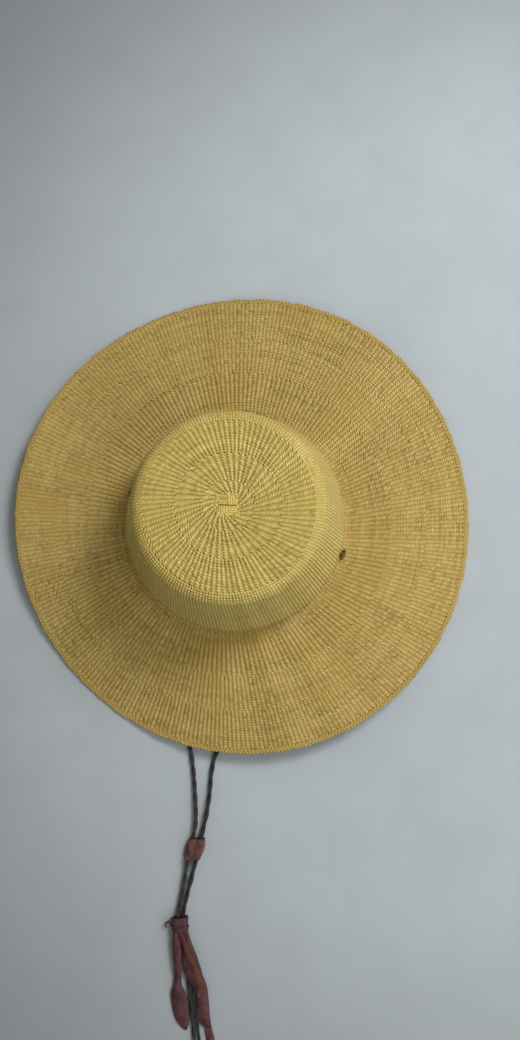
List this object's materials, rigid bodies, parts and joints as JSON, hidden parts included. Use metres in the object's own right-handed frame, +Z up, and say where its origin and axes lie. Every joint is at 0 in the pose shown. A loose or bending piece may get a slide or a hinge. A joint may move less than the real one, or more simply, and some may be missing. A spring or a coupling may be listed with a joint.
{
  "type": "straw hat",
  "caption": "Wide-brimmed, flat-topped hat twined from grass, with a leather chin strap, sliding stop and tassel.",
  "frame": {"origin": "under the middle of the brim, on the surface that the hat lies on", "axes": "+Z up through the crown, X along the line through the two strap holes, the chin strap lying towards -Y"},
  "size_m": [0.4, 0.6285, 0.105],
  "materials": {
    "straw": "twined dry grass, matte with a faint sheen on each strand",
    "straw_light": "lighter twined grass, faint sheen",
    "dark_leather": "twisted dark leather thong, satin",
    "red_leather": "red-brown grain leather, soft sheen",
    "flesh_leather": "orange-brown flesh side, matte and fibrous",
    "thread": "waxed pale thread"
  },
  "bodies": {
    "hat": {"start_plait": "straw_light", "crown_tip": "straw_light", "crown_wall": "straw", "brim_inner": "straw", "brim_outer": "straw", "edge_plait": "straw_light", "knot_left": "dark_leather", "knot_right": "dark_leather"},
    "strap": {"cord_left": "dark_leather", "cord_right": "dark_leather"},
    "slider": {"slider_back": "red_leather", "slider_front": "red_leather", "slider_stitching": "thread"},
    "tassel": {"tassel_collar": "red_leather", "collar_tie": "dark_leather", "strip_left": "red_leather", "strip_right": "red_leather", "strip_flesh_side": "flesh_leather", "strip_under": "flesh_leather", "tail_left": "dark_leather", "tail_right": "dark_leather"}
  },
  "joints": [
    {"name": "strap_swing", "type": "hinge", "parent": "hat", "child": "strap", "pos_m": [-0.0025, -0.007, 0.0069], "axis": [1, 0, 0], "range_deg": [0, 150]},
    {"name": "slider_slide", "type": "slide", "parent": "strap", "child": "slider", "axis": [0.0419, -0.9991, 0], "range_m": [-0.008, 0.034]},
    {"name": "tassel_swing", "type": "hinge", "parent": "strap", "child": "tassel", "pos_m": [0.0407, -0.3353, 0.0042], "axis": [0, 0, 1], "range_deg": [-20, 20]}
  ]
}
